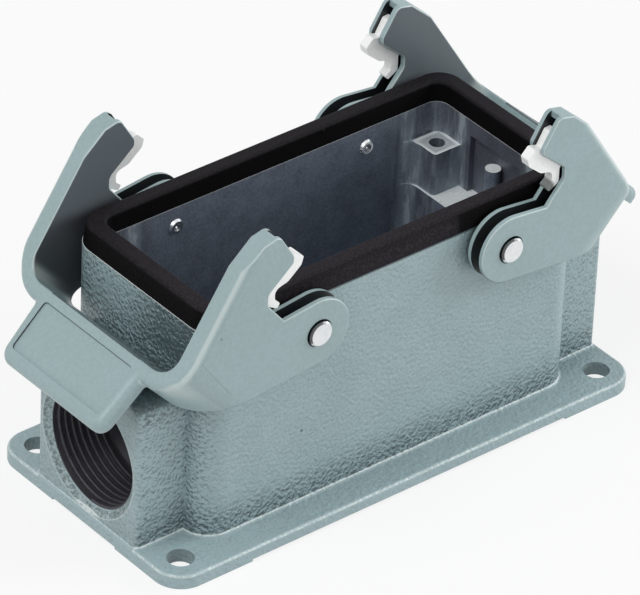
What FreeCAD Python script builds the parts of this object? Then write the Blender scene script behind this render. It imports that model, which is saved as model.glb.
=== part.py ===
import FreeCAD, Part
import math
import os
import Sketcher

# A surface-mounting housing of a rectangular connector, with two locking levers.
# X runs along the housing, Y across it and Z up. The origin is the middle of the base face.
# Lengths are millimetres and angles are degrees.

doc = FreeCAD.newDocument("SurfaceHousing")
sheet = doc.addObject("Spreadsheet::Sheet", "Sizes")
Vector = FreeCAD.Vector


class Size:
    # A number together with the sheet expression that gives it.
    def __init__(self, value, text):
        self.value = value
        self.text = text

    def join(self, sign, other, value):
        return Size(value, "(%s %s %s)" % (self.text, sign, other.text))

    def __add__(self, other):
        other = as_size(other)
        return self.join("+", other, self.value + other.value)

    def __sub__(self, other):
        other = as_size(other)
        return self.join("-", other, self.value - other.value)

    def __mul__(self, other):
        other = as_size(other)
        return self.join("*", other, self.value * other.value)

    def __truediv__(self, other):
        other = as_size(other)
        return self.join("/", other, self.value / other.value)

    def __neg__(self):
        return Size(-self.value, "(0 - %s)" % self.text)


def root_of(number):
    return Size(math.sqrt(number.value), "sqrt(%s)" % number.text)


def as_size(number):
    if isinstance(number, Size):
        return number
    return Size(float(number), "%g" % number)


row_count = 0


def size(alias, value):
    # Writes one driving dimension to the sheet and hands it back with its name.
    global row_count
    row_count += 1
    sheet.set("A%d" % row_count, alias)
    sheet.set("B%d" % row_count, "%g" % value)
    sheet.setAlias("B%d" % row_count, alias)
    return Size(value, "Sizes." + alias)


def spot(name, out, height):
    # A corner of a lever's side view, so far out from the pivot and so far above it.
    return -size(name + "_out", out), size(name + "_height", height)


# Base flange and its fixing holes
hole_out_long = size("hole_out_long", 6.0)      # hole centre beyond the outer face of the end wall
hole_out_wide = size("hole_out_wide", 1.0)      # hole centre beyond the outer face of the side wall
hole_radius = size("hole_radius", 2.75)
hole_margin = size("hole_margin", 6.0)          # hole centre to flange edge, and the corner radius
flange_thick = size("flange_thick", 3.0)
flange_edge = size("flange_edge", 0.8)          # rounding of the upper flange edge
pad_height = size("pad_height", 0.5)            # the four corner pads stand this much proud
pad_long = size("pad_long", 19.0)               # length of a pad along X
pad_wide = size("pad_wide", 18.7)               # length of a pad along Y

# Walls
cavity_long = size("cavity_long", 84.3)
cavity_wide = size("cavity_wide", 35.0)
cavity_corner = size("cavity_corner", 2.8)
end_wall = size("end_wall", 4.35)
side_wall = size("side_wall", 4.0)
wall_corner = size("wall_corner", 5.8)
wall_top = size("wall_top", 50.3)
wall_foot = size("wall_foot", 0.8)              # fillet where walls meet the flange
floor_thick = size("floor_thick", 2.6)

# Seal rib on top of the walls and the seal that sits over it
rib_thick = size("rib_thick", 1.3)
rib_height = size("rib_height", 2.4)
seal_fit = size("seal_fit", 0.05)
seal_height = size("seal_height", 4.55)
seal_inset = size("seal_inset", 0.1)            # seal foot back from the outer wall face
seal_taper = size("seal_taper", 8.0)
seal_edge = size("seal_edge", 0.7)

# End bosses and the cable entry
boss_setback = size("boss_setback", 0.6)        # boss face back from the flange edge
boss_cheek = size("boss_cheek", 1.55)           # boss side beyond the mouth of the entry
boss_drop = size("boss_drop", 14.3)             # boss top, where the open lever rests, below the walls
boss_corner = size("boss_corner", 4.5)
boss_edge = size("boss_edge", 1.3)
entry_height = size("entry_height", 17.4)
entry_radius = size("entry_radius", 12.5)           # outer radius of the entry thread
entry_mouth = size("entry_mouth", 14.2)
entry_chamfer = size("entry_chamfer", 1.2)
entry_thread = size("entry_thread", 13.0)
entry_step = size("entry_step", 0.9)

# Inside: shelf, posts for the insert screws, relief and guide peg
shelf_depth = size("shelf_depth", 16.8)         # all depths are below the top of the walls
shelf_length = size("shelf_length", 7.2)
post_depth = size("post_depth", 7.1)
post_inset_long = size("post_inset_long", 3.4)  # screw centre in from the end of the cavity
post_inset_wide = size("post_inset_wide", 4.0)
post_half = size("post_half", 3.3)
post_blend = size("post_blend", 3.2)
post_edge = size("post_edge", 0.8)
insert_drill = size("insert_drill", 1.65)
insert_depth = size("insert_depth", 8.0)
relief_wide = size("relief_wide", 15.0)
relief_depth = size("relief_depth", 1.3)
relief_rim = size("relief_rim", 3.5)
peg_radius = size("peg_radius", 1.6)

# Pivots and pins
pivot_inset = size("pivot_inset", 22.75)        # pivot in from the outer face of the end wall
pivot_drop = size("pivot_drop", 4.5)            # pivot below the top of the walls
rivet_radius = size("rivet_radius", 1.4)
rivet_end_radius = size("rivet_end_radius", 1.65)
rivet_end_length = size("rivet_end_length", 0.5)
rivet_cup = size("rivet_cup", 0.9)              # hollow of the spread end
journal_radius = size("journal_radius", 2.0)
head_radius = size("head_radius", 2.7)
head_proud = size("head_proud", 0.7)
head_edge = size("head_edge", 0.3)
pin_fit = size("pin_fit", 0.05)
pin_play = size("pin_play", 0.1)
head_clearance = size("head_clearance", 0.3)

# Lever arms, as a side view about the pivot of the left lever
lever_gap = size("lever_gap", 0.6)              # wall face to lever
inner_plate = size("inner_plate", 1.1)
slot_width = size("slot_width", 2.4)
outer_plate = size("outer_plate", 1.0)
lobe_radius = size("lobe_radius", 7.3)
bar_gap = size("bar_gap", 0.3)                  # crossbar above the boss at the open stop
belly_out = size("belly_out", 23.2)             # where the underside of the arm turns level
tip_back = spot("tip_back", 14.2, 25.3)
tip_front = spot("tip_front", 10.6, 26.2)
tip_bend = size("tip_bend", 1.6)
shoulder = spot("shoulder", 19.3, 20.8)         # bend in the back of the arm
nose = spot("nose", 6.9, 20.3)
nose_low = spot("nose_low", 6.95, 18.8)
nose_bend = size("nose_bend", 1.2)
notch_out = size("notch_out", 12.8)
notch_upper = size("notch_upper", 13.8)
notch_lower = size("notch_lower", 11.3)
notch_bend = size("notch_bend", 1.8)
step = spot("step", 8.7, 6.3)                   # where the notch runs out onto the pivot lobe
back_wall = size("back_wall", 2.2)              # closed back of the slot
slot_lead = size("slot_lead", 0.6)
arm_edge = size("arm_edge", 0.4)
cut_spare = size("cut_spare", 2.0)              # how far a cut runs past what it cuts

# Lever crossbar and grip, in a plane tilted by grip_slope about the pivot
grip_slope = size("grip_slope", 43.0)
grip_face = size("grip_face", 22.6)             # outer face above the pivot, square to the plane
bar_clearance = size("bar_clearance", 1.15)     # crossbar to the end wall with the lever shut
bar_thick = size("bar_thick", 3.4)
bar_corner = size("bar_corner", 9.5)
opening_corner = size("opening_corner", 4.8)
grip_reach = size("grip_reach", 12.7)           # grip beyond the crossbar
grip_inset = size("grip_inset", 0.8)            # grip side in from the rounding of the crossbar
grip_taper = size("grip_taper", 0.8)
grip_thick = size("grip_thick", 3.0)
grip_corner = size("grip_corner", 3.0)
grip_neck = size("grip_neck", 0.8)              # rounding between the grip's side and the crossbar
heel_start = size("heel_start", 1.0)            # the grip's face begins this far above the crossbar
heel_bend = size("heel_bend", 3.0)
grip_lip = size("grip_lip", 1.8)
panel_start = size("panel_start", 2.1)          # panel from the inner side of the crossbar
panel_rim = size("panel_rim", 3.0)              # and from the end of the grip
panel_side = size("panel_side", 1.9)            # and from its side
panel_corner = size("panel_corner", 0.9)
panel_depth = size("panel_depth", 0.4)
rib_inset = size("rib_inset", 7.3)              # rib in from the side of the grip
grip_rib_thick = size("grip_rib_thick", 1.6)
grip_rib_depth = size("grip_rib_depth", 4.2)
grip_rib_reach = size("grip_rib_reach", 6.5)

# Steel catch in the slot of each arm
catch_thick = size("catch_thick", 2.1)
beak_root = spot("beak_root", 7.6, 19.6)
beak_top = spot("beak_top", 5.5, 20.2)
beak_tip = spot("beak_tip", 3.8, 18.5)
beak_low = spot("beak_low", 4.3, 16.8)
throat = spot("throat", 7.4, 14.2)
hook = spot("hook", 10.5, 13.4)
foot = spot("foot", 10.4, 11.0)
toe = spot("toe", 9.1, 10.0)
tail = spot("tail", 9.8, 9.0)
heel = spot("heel", 12.2, 10.4)
leg_back = spot("leg_back", 12.2, 13.5)
catch_back = spot("catch_back", 13.8, 15.6)
crown_back = spot("crown_back", 12.6, 20.4)
crown = spot("crown", 11.0, 22.9)
crown_front = spot("crown_front", 9.4, 22.8)
beak_round = size("beak_round", 0.5)
throat_round = size("throat_round", 1.5)
tail_round = size("tail_round", 0.4)

doc.recompute()

# Places that several pieces share
wall_half_long = cavity_long / 2 + end_wall
wall_half_wide = cavity_wide / 2 + side_wall
hole_x = wall_half_long + hole_out_long
hole_y = wall_half_wide + hole_out_wide
flange_half_long = hole_x + hole_margin
flange_half_wide = hole_y + hole_margin
boss_reach = flange_half_long - boss_setback
boss_top = wall_top - boss_drop
boss_side = entry_mouth + boss_cheek
post_x = cavity_long / 2 - post_inset_long
post_y = cavity_wide / 2 - post_inset_wide
shelf_height = wall_top - shelf_depth
post_top = wall_top - post_depth
pivot_x = wall_half_long - pivot_inset
pivot_height = wall_top - pivot_drop
lever_inside = wall_half_wide + lever_gap
slot_inside = lever_inside + inner_plate
slot_outside = slot_inside + slot_width
lever_outside = slot_outside + outer_plate
arm_drop = boss_drop - pivot_drop - bar_gap
bar_near = pivot_inset + bar_clearance          # sides of the crossbar, down the slope of the grip
bar_far = bar_near + bar_thick
grip_end = bar_far + grip_reach
grip_side = lever_outside - bar_corner - grip_inset
grip_end_side = grip_side - grip_taper
panel_half = grip_end_side - panel_side
rib_half_long = cavity_long / 2 + end_wall / 2 + rib_thick / 2
rib_half_wide = cavity_wide / 2 + side_wall / 2 + rib_thick / 2
reach = flange_half_long * 4                    # longer than any cut has to be


def new_body(name):
    body = doc.addObject("PartDesign::Body", name)
    body.Label = name
    return body


def plane_of(body, role):
    for feature in body.Origin.OriginFeatures:
        if feature.Role == role:
            return feature
    raise ValueError("no plane called " + role)


def new_sketch(body, name, role, offset=None, slope=None):
    # A sketch on an origin plane, moved along the plane's normal by offset,
    # or tilted by slope about the Y axis and then moved.
    sketch = body.newObject("Sketcher::SketchObject", name)
    sketch.AttachmentSupport = [(plane_of(body, role), "")]
    sketch.MapMode = "FlatFace"
    if slope is not None:
        turn = FreeCAD.Rotation(Vector(0, -1, 0), slope.value)
        sketch.AttachmentOffset = FreeCAD.Placement(Vector(0, 0, 0), turn)
        sketch.setExpression("AttachmentOffset.Rotation.Angle", slope.text)
        if offset is not None:
            tilt = "%s * 1 deg" % slope.text
            sketch.setExpression("AttachmentOffset.Base.x", "-1 * %s * sin(%s)" % (offset.text, tilt))
            sketch.setExpression("AttachmentOffset.Base.z", "%s * cos(%s)" % (offset.text, tilt))
    elif offset is not None:
        sketch.AttachmentOffset = FreeCAD.Placement(Vector(0, 0, offset.value), FreeCAD.Rotation())
        sketch.setExpression("AttachmentOffset.Base.z", offset.text)
    return sketch


def bind(sketch, constraint, target):
    index = sketch.addConstraint(constraint)
    sketch.setExpression("Constraints[%d]" % index, target.text)


def pin_point(sketch, line, end, across, up):
    # Fixes a point of the sketch at (across, up) from the sketch origin.
    across = as_size(across)
    up = as_size(up)
    bind(sketch, Sketcher.Constraint("DistanceX", -1, 1, line, end, across.value), across)
    bind(sketch, Sketcher.Constraint("DistanceY", -1, 1, line, end, up.value), up)


def draw_outline(sketch, corners):
    # A closed outline of straight lines through the corners.
    points = [(as_size(across), as_size(up)) for across, up in corners]
    count = len(points)
    first = sketch.GeometryCount
    for index in range(count):
        start = points[index]
        stop = points[(index + 1) % count]
        line = Part.LineSegment(Vector(start[0].value, start[1].value, 0),
                                Vector(stop[0].value, stop[1].value, 0))
        sketch.addGeometry(line, False)
    for index in range(count):
        following = first + (index + 1) % count
        sketch.addConstraint(Sketcher.Constraint("Coincident", first + index, 2, following, 1))
    for index in range(count):
        pin_point(sketch, first + index, 1, points[index][0], points[index][1])


def draw_circle(sketch, across, up, radius):
    across = as_size(across)
    up = as_size(up)
    centre = Vector(across.value, up.value, 0)
    circle = sketch.addGeometry(Part.Circle(centre, Vector(0, 0, 1), radius.value), False)
    bind(sketch, Sketcher.Constraint("Radius", circle, radius.value), radius)
    pin_point(sketch, circle, 3, across, up)


def draw_box(sketch, left, right, low, high):
    draw_outline(sketch, [(left, low), (right, low), (right, high), (left, high)])


def draw_rounded(sketch, half_x, half_y, corner):
    # A rectangle about the sketch origin with one corner radius.
    x = half_x.value
    y = half_y.value
    r = corner.value
    ends = [((r - x, -y), (x - r, -y)), ((x, r - y), (x, y - r)),
            ((x - r, y), (r - x, y)), ((-x, y - r), (-x, r - y))]
    centres = [(x - r, r - y), (x - r, y - r), (r - x, y - r), (r - x, r - y)]
    sides = []
    for start, stop in ends:
        sides.append(sketch.addGeometry(Part.LineSegment(Vector(*start, 0), Vector(*stop, 0)), False))
    arcs = []
    for index, centre in enumerate(centres):
        circle = Part.Circle(Vector(*centre, 0), Vector(0, 0, 1), r)
        start = (index - 1) * math.pi / 2
        arcs.append(sketch.addGeometry(Part.ArcOfCircle(circle, start, start + math.pi / 2), False))
    for index in range(4):
        following = sides[(index + 1) % 4]
        sketch.addConstraint(Sketcher.Constraint("Tangent", sides[index], 2, arcs[index], 1))
        sketch.addConstraint(Sketcher.Constraint("Tangent", arcs[index], 2, following, 1))
    for index in range(1, 4):
        sketch.addConstraint(Sketcher.Constraint("Equal", arcs[0], arcs[index]))
    bind(sketch, Sketcher.Constraint("Radius", arcs[0], r), corner)
    sketch.addConstraint(Sketcher.Constraint("Horizontal", sides[0]))
    sketch.addConstraint(Sketcher.Constraint("Vertical", sides[1]))
    bind(sketch, Sketcher.Constraint("DistanceY", -1, 1, sides[0], 1, -y), -half_y)
    bind(sketch, Sketcher.Constraint("DistanceX", -1, 1, sides[1], 1, x), half_x)
    bind(sketch, Sketcher.Constraint("DistanceY", -1, 1, sides[2], 1, y), half_y)
    bind(sketch, Sketcher.Constraint("DistanceX", -1, 1, sides[3], 1, -x), -half_x)


def new_pad(body, name, sketch, length, both_ways=False, backwards=False):
    pad = body.newObject("PartDesign::Pad", name)
    pad.Profile = sketch
    pad.SideType = "Symmetric" if both_ways else "One side"
    pad.Reversed = backwards
    pad.setExpression("Length", as_size(length).text)
    doc.recompute()
    return pad


def new_pocket(body, name, sketch, depth, both_ways=False, backwards=False):
    # A cut that has to take material away: one that goes the wrong way is stopped here.
    before = body.Shape.Volume
    pocket = body.newObject("PartDesign::Pocket", name)
    pocket.Profile = sketch
    pocket.SideType = "Symmetric" if both_ways else "One side"
    pocket.Reversed = backwards
    pocket.setExpression("Length", as_size(depth).text)
    doc.recompute()
    if pocket.Shape.isNull() or pocket.Shape.Volume > before - 0.01:
        raise ValueError("%s of %s took nothing away" % (name, body.Label))
    return pocket


def new_turned_cut(body, name, sketch):
    before = body.Shape.Volume
    groove = body.newObject("PartDesign::Groove", name)
    groove.Profile = sketch
    groove.ReferenceAxis = (sketch, ["Axis0"])
    groove.Angle = 360
    doc.recompute()
    if groove.Shape.isNull() or groove.Shape.Volume > before - 0.01:
        raise ValueError("%s of %s took nothing away" % (name, body.Label))
    return groove


def edges_where(shape, wanted):
    return ["Edge%d" % (index + 1) for index, edge in enumerate(shape.Edges) if wanted(edge)]


def round_edges(body, name, radius, wanted):
    base = body.Tip
    names = edges_where(base.Shape, wanted)
    if not names:
        raise ValueError("no edges for %s of %s" % (name, body.Label))
    fillet = body.newObject("PartDesign::Fillet", name)
    fillet.Base = (base, names)
    fillet.setExpression("Radius", radius.text)
    doc.recompute()
    if fillet.Shape.isNull() or not fillet.Shape.isValid():
        raise ValueError("%s of %s failed" % (name, body.Label))
    return fillet


def near(value, target):
    return abs(value - target) < 0.02


def ends_of(edge):
    return [vertex.Point for vertex in edge.Vertexes]


def runs_along(edge, axis):
    # True for a straight edge parallel to an axis, 0 for X, 1 for Y and 2 for Z.
    points = ends_of(edge)
    if len(points) < 2 or edge.Curve.TypeId != "Part::GeomLine":
        return False
    step = points[1] - points[0]
    return step.Length > 0.01 and abs(abs(step[axis]) - step.Length) < 0.001


def at_corner(out, up):
    # A test for the edge along Y that passes through a corner of a side view.
    def is_there(edge):
        middle = middle_of(edge)
        return runs_along(edge, 1) and near(middle.x, out.value) and near(middle.z, up.value)

    return is_there


def middle_of(edge):
    return edge.valueAt((edge.FirstParameter + edge.LastParameter) / 2)


def lies_at_height(edge, height):
    return near(middle_of(edge).z, height) and all(near(point.z, height) for point in ends_of(edge))


def corner_signs():
    return [(along, across) for along in (-1, 1) for across in (-1, 1)]


def build_housing():
    body = new_body("housing")
    add_flange(body)
    add_walls(body)
    add_bosses(body)
    cut_cavity(body)
    add_posts(body)
    cut_entry(body)
    cut_holes(body)
    round_outside(body)
    add_seal_rib(body)
    return body


def add_flange(body):
    sketch = new_sketch(body, "flange_outline", "XY_Plane")
    draw_rounded(sketch, flange_half_long, flange_half_wide, hole_margin)
    new_pad(body, "flange", sketch, flange_thick)
    round_edges(body, "flange_rim", flange_edge, lambda edge: lies_at_height(edge, flange_thick.value))
    sketch = new_sketch(body, "base_relief_outline", "XY_Plane")
    pad_x = flange_half_long - pad_long
    pad_y = flange_half_wide - pad_wide
    far_x = flange_half_long * 2
    far_y = flange_half_wide * 2
    draw_outline(sketch, [(-far_x, -pad_y), (-pad_x, -pad_y), (-pad_x, -far_y), (pad_x, -far_y),
                          (pad_x, -pad_y), (far_x, -pad_y), (far_x, pad_y), (pad_x, pad_y),
                          (pad_x, far_y), (-pad_x, far_y), (-pad_x, pad_y), (-far_x, pad_y)])
    new_pocket(body, "base_relief", sketch, pad_height, backwards=True)


def add_walls(body):
    sketch = new_sketch(body, "wall_outline", "XY_Plane", flange_thick - floor_thick / 2)
    draw_rounded(sketch, wall_half_long, wall_half_wide, wall_corner)
    new_pad(body, "walls", sketch, wall_top - flange_thick + floor_thick / 2)


def add_bosses(body):
    # One block from end to end makes both bosses, and the cavity takes its middle out again.
    sketch = new_sketch(body, "boss_outline", "YZ_Plane")
    low = flange_thick - floor_thick / 2
    draw_box(sketch, -boss_side, boss_side, low, boss_top)
    new_pad(body, "bosses", sketch, boss_reach * 2, both_ways=True)
    side = boss_side.value
    top = boss_top.value

    def is_top_corner(edge):
        middle = middle_of(edge)
        return (runs_along(edge, 0) and near(middle.z, top) and near(abs(middle.y), side)
                and abs(middle.x) > wall_half_long.value)

    round_edges(body, "boss_corners", boss_corner, is_top_corner)


def cut_cavity(body):
    sketch = new_sketch(body, "cavity_outline", "XY_Plane", wall_top)
    draw_rounded(sketch, cavity_long / 2, cavity_wide / 2, cavity_corner)
    new_pocket(body, "cavity", sketch, wall_top - shelf_height)
    sketch = new_sketch(body, "lower_cavity_outline", "XY_Plane", shelf_height)
    draw_rounded(sketch, cavity_long / 2 - shelf_length, cavity_wide / 2, post_blend)
    new_pocket(body, "lower_cavity", sketch, shelf_height - floor_thick - pad_height)
    sketch = new_sketch(body, "end_relief_outline", "YZ_Plane")
    draw_box(sketch, -(relief_wide / 2), relief_wide / 2, shelf_height, wall_top - relief_rim)
    new_pocket(body, "end_relief", sketch, cavity_long + relief_depth * 2, both_ways=True)


def add_posts(body):
    sketch = new_sketch(body, "post_outline", "XY_Plane", shelf_height)
    inner_x = post_x - post_half
    inner_y = post_y - post_half
    outer_x = cavity_long / 2 + relief_depth / 2
    outer_y = cavity_wide / 2 + side_wall / 4
    for along, across in corner_signs():
        near_x = inner_x * along
        near_y = inner_y * across
        far_x = outer_x * along
        far_y = outer_y * across
        draw_outline(sketch, [(near_x, near_y), (far_x, near_y), (far_x, far_y), (near_x, far_y)])
    new_pad(body, "posts", sketch, post_top - shelf_height)

    def is_post_root(edge):
        middle = middle_of(edge)
        return (runs_along(edge, 2) and near(abs(middle.x), inner_x.value)
                and near(abs(middle.y), cavity_wide.value / 2) and middle.z > shelf_height.value)

    round_edges(body, "post_blends", post_blend, is_post_root)

    def is_post_corner(edge):
        middle = middle_of(edge)
        return (runs_along(edge, 2) and near(abs(middle.x), inner_x.value)
                and near(abs(middle.y), inner_y.value) and middle.z > shelf_height.value)

    round_edges(body, "post_corners", post_edge, is_post_corner)
    sketch = new_sketch(body, "peg_outline", "XY_Plane", shelf_height)
    peg_place = cavity_long / 2 + relief_depth - peg_radius
    draw_circle(sketch, peg_place, 0, peg_radius)
    new_pad(body, "peg", sketch, post_top - shelf_height)
    sketch = new_sketch(body, "insert_hole_outline", "XY_Plane", post_top)
    for along, across in corner_signs():
        draw_circle(sketch, post_x * along, post_y * across, insert_drill)
    new_pocket(body, "insert_holes", sketch, insert_depth)


def cut_entry(body):
    # The left boss is bored for a cable gland, the right one is left blank.
    sketch = new_sketch(body, "entry_profile", "XZ_Plane")
    face = -boss_reach
    inside = shelf_length + cut_spare - cavity_long / 2
    thread_end = face + entry_thread
    narrow = entry_radius - entry_step
    axis = Part.LineSegment(Vector(face.value, entry_height.value, 0), Vector(0, entry_height.value, 0))
    line = sketch.addGeometry(axis, True)
    pin_point(sketch, line, 1, face, entry_height)
    pin_point(sketch, line, 2, 0, entry_height)
    draw_outline(sketch, [(face - cut_spare, entry_height),
                          (face - cut_spare, entry_height + entry_mouth),
                          (face, entry_height + entry_mouth),
                          (face + entry_chamfer, entry_height + entry_radius),
                          (thread_end, entry_height + entry_radius),
                          (thread_end, entry_height + narrow),
                          (inside, entry_height + narrow),
                          (inside, entry_height)])
    new_turned_cut(body, "cable_entry", sketch)


def cut_holes(body):
    sketch = new_sketch(body, "fixing_hole_outline", "XY_Plane", flange_thick)
    for along, across in corner_signs():
        draw_circle(sketch, hole_x * along, hole_y * across, hole_radius)
    new_pocket(body, "fixing_holes", sketch, flange_thick * 2)
    sketch = new_sketch(body, "rivet_hole_outline", "XZ_Plane")
    for along in (-1, 1):
        draw_circle(sketch, pivot_x * along, pivot_height, rivet_radius)
    new_pocket(body, "rivet_holes", sketch, reach, both_ways=True)


def round_outside(body):
    top = flange_thick.value

    def is_boss_face(edge):
        # The boss rounding ends on the flange, so the foot line is left out.
        points = ends_of(edge)
        on_face = all(near(abs(point.x), boss_reach.value) for point in points)
        radius = getattr(edge.Curve, "Radius", boss_corner.value)
        return on_face and near(radius, boss_corner.value) and middle_of(edge).z > top + 0.1

    round_edges(body, "boss_faces", boss_edge, is_boss_face)

    def is_foot(edge):
        middle = middle_of(edge)
        outside = (abs(middle.x) > wall_half_long.value - wall_corner.value
                   or abs(middle.y) > wall_half_wide.value - wall_corner.value)
        inside = (abs(middle.x) < boss_reach.value + 0.1
                  and abs(middle.y) < wall_half_wide.value + 0.1)
        return lies_at_height(edge, top) and outside and inside

    round_edges(body, "wall_feet", wall_foot, is_foot)


def add_seal_rib(body):
    sketch = new_sketch(body, "seal_rib_outline", "XY_Plane", wall_top - rib_height / 2)
    inner_long = rib_half_long - rib_thick
    inner_wide = rib_half_wide - rib_thick
    draw_rounded(sketch, rib_half_long, rib_half_wide, wall_corner - end_wall / 2 + rib_thick / 2)
    draw_rounded(sketch, inner_long, inner_wide, wall_corner - end_wall / 2 - rib_thick / 2)
    new_pad(body, "seal_rib", sketch, rib_height * 1.5)


def build_seal():
    body = new_body("gasket")
    sketch = new_sketch(body, "seal_outline", "XY_Plane", wall_top)
    draw_rounded(sketch, wall_half_long - seal_inset, wall_half_wide - seal_inset, wall_corner - seal_inset)
    pad = new_pad(body, "seal_block", sketch, seal_height)
    pad.setExpression("TaperAngle", (-seal_taper).text)
    doc.recompute()
    sketch = new_sketch(body, "seal_opening_outline", "XY_Plane", wall_top)
    draw_rounded(sketch, cavity_long / 2, cavity_wide / 2, cavity_corner)
    new_pocket(body, "seal_opening", sketch, reach, both_ways=True)
    sketch = new_sketch(body, "seal_groove_outline", "XY_Plane", wall_top)
    middle = wall_corner - end_wall / 2
    draw_rounded(sketch, rib_half_long + seal_fit, rib_half_wide + seal_fit,
                 middle + rib_thick / 2 + seal_fit)
    draw_rounded(sketch, rib_half_long - rib_thick - seal_fit, rib_half_wide - rib_thick - seal_fit,
                 middle - rib_thick / 2 - seal_fit)
    new_pocket(body, "seal_groove", sketch, rib_height + seal_fit, backwards=True)
    top = wall_top.value + seal_height.value
    round_edges(body, "seal_edges", seal_edge, lambda edge: lies_at_height(edge, top))
    return body


def tilted_point(down, lift):
    # A point of the side view, given down the slope of the grip and above the pivot square to it.
    angle = math.radians(grip_slope.value)
    turn = "%s * 1 deg" % grip_slope.text
    x = -down.value * math.cos(angle) - lift.value * math.sin(angle)
    z = -down.value * math.sin(angle) + lift.value * math.cos(angle)
    x_text = "(0 - %s * cos(%s) - %s * sin(%s))" % (down.text, turn, lift.text, turn)
    z_text = "(%s * cos(%s) - %s * sin(%s))" % (lift.text, turn, down.text, turn)
    return Size(x, x_text), Size(z, z_text)


def tilt_of(point):
    # The reverse: how far down the slope a point of the solid lies, and how far above the pivot.
    angle = math.radians(grip_slope.value)
    down = -point.x * math.cos(angle) - point.z * math.sin(angle)
    lift = -point.x * math.sin(angle) + point.z * math.cos(angle)
    return down, lift


def touch_point(corner, below):
    # Where a line from a corner of the side view touches the pivot lobe, over or under the pivot.
    x, z = corner
    far = x * x + z * z
    lead = root_of(far - lobe_radius * lobe_radius) * lobe_radius
    near_part = lobe_radius * lobe_radius
    if below:
        return (near_part * x - lead * z) / far, (near_part * z + lead * x) / far
    return (near_part * x + lead * z) / far, (near_part * z - lead * x) / far


def arm_outline():
    # Side view of an arm from the tip down its front to the pivot and back up its back.
    # The far end is longer than the arm, and the trim cut brings it to the crossbar.
    belly = (-belly_out, -arm_drop)
    return [tip_back,
            tip_front,
            nose,
            nose_low,
            (-notch_out, notch_upper),
            (-notch_out, notch_lower),
            step,
            touch_point(step, False),
            touch_point(belly, True),
            belly,
            (-(bar_far * 1.35), -arm_drop),
            tilted_point(bar_far * 1.2, grip_face),
            tilted_point(bar_near - heel_start, grip_face),
            shoulder]


def slot_outline():
    # The slot is open along the front of the arm and closed along its back and foot.
    lead_x = tip_front[0] - slot_lead
    over = tip_front[1] + cut_spare
    front = lobe_radius + cut_spare
    return [(lead_x, over),
            (lead_x, tip_front[1] - back_wall * 0.7),
            (shoulder[0] + back_wall * 0.9, shoulder[1] - back_wall * 0.5),
            tilted_point(bar_near - back_wall * 2, grip_face - back_wall * 0.9),
            (back_wall - belly_out, back_wall * 1.1 - arm_drop),
            (-front, back_wall / 2 - lobe_radius),
            (-lobe_radius, -front),
            (front, -front),
            (front, over)]


def build_lever(name):
    body = new_body(name)
    add_arms(body)
    shape_crossbar(body)
    add_grip(body)
    cut_slots(body)
    cut_bores(body)
    round_lever(body)
    return body


def add_arms(body):
    sketch = new_sketch(body, "arm_outline", "XZ_Plane")
    draw_outline(sketch, arm_outline())
    new_pad(body, "arms", sketch, lever_outside * 2, both_ways=True)
    sketch = new_sketch(body, "lobe_outline", "XZ_Plane")
    draw_circle(sketch, 0, 0, lobe_radius)
    new_pad(body, "lobes", sketch, lever_outside * 2, both_ways=True)
    heel = tilted_point(bar_near - heel_start, grip_face)
    corners = [("notch_floor", notch_bend, [(-notch_out, notch_upper), (-notch_out, notch_lower)]),
               ("tip_bend", tip_bend, [tip_front]),
               ("nose_bend", nose_bend, [nose, nose_low]),
               ("heel_bend", heel_bend, [heel])]
    for title, radius, spots in corners:
        tests = [at_corner(out, up) for out, up in spots]
        round_edges(body, title, radius, lambda edge: any(test(edge) for test in tests))


def shape_crossbar(body):
    # Both sketches lie in the tilted plane, where -X points down the slope of the grip.
    sketch = new_sketch(body, "trim_outline", "XY_Plane", slope=grip_slope)
    far = bar_far * 3
    wide = lever_outside + cut_spare
    draw_box(sketch, -far, -bar_far, -wide, wide)
    new_pocket(body, "trim", sketch, reach, both_ways=True)
    sketch = new_sketch(body, "opening_outline", "XY_Plane", slope=grip_slope)
    draw_box(sketch, -bar_near, bar_near * 3, -lever_inside, lever_inside)
    new_pocket(body, "opening", sketch, reach, both_ways=True)

    def is_bar_end(edge, across, down):
        middle = middle_of(edge)
        points = ends_of(edge)
        if len(points) < 2 or edge.Curve.TypeId != "Part::GeomLine":
            return False
        return (near(abs(middle.y), across.value) and near(tilt_of(middle)[0], down.value)
                and abs(points[1].y - points[0].y) < 0.001)

    round_edges(body, "bar_ends", bar_corner, lambda edge: is_bar_end(edge, lever_outside, bar_far))
    round_edges(body, "opening_ends", opening_corner, lambda edge: is_bar_end(edge, lever_inside, bar_near))


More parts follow.
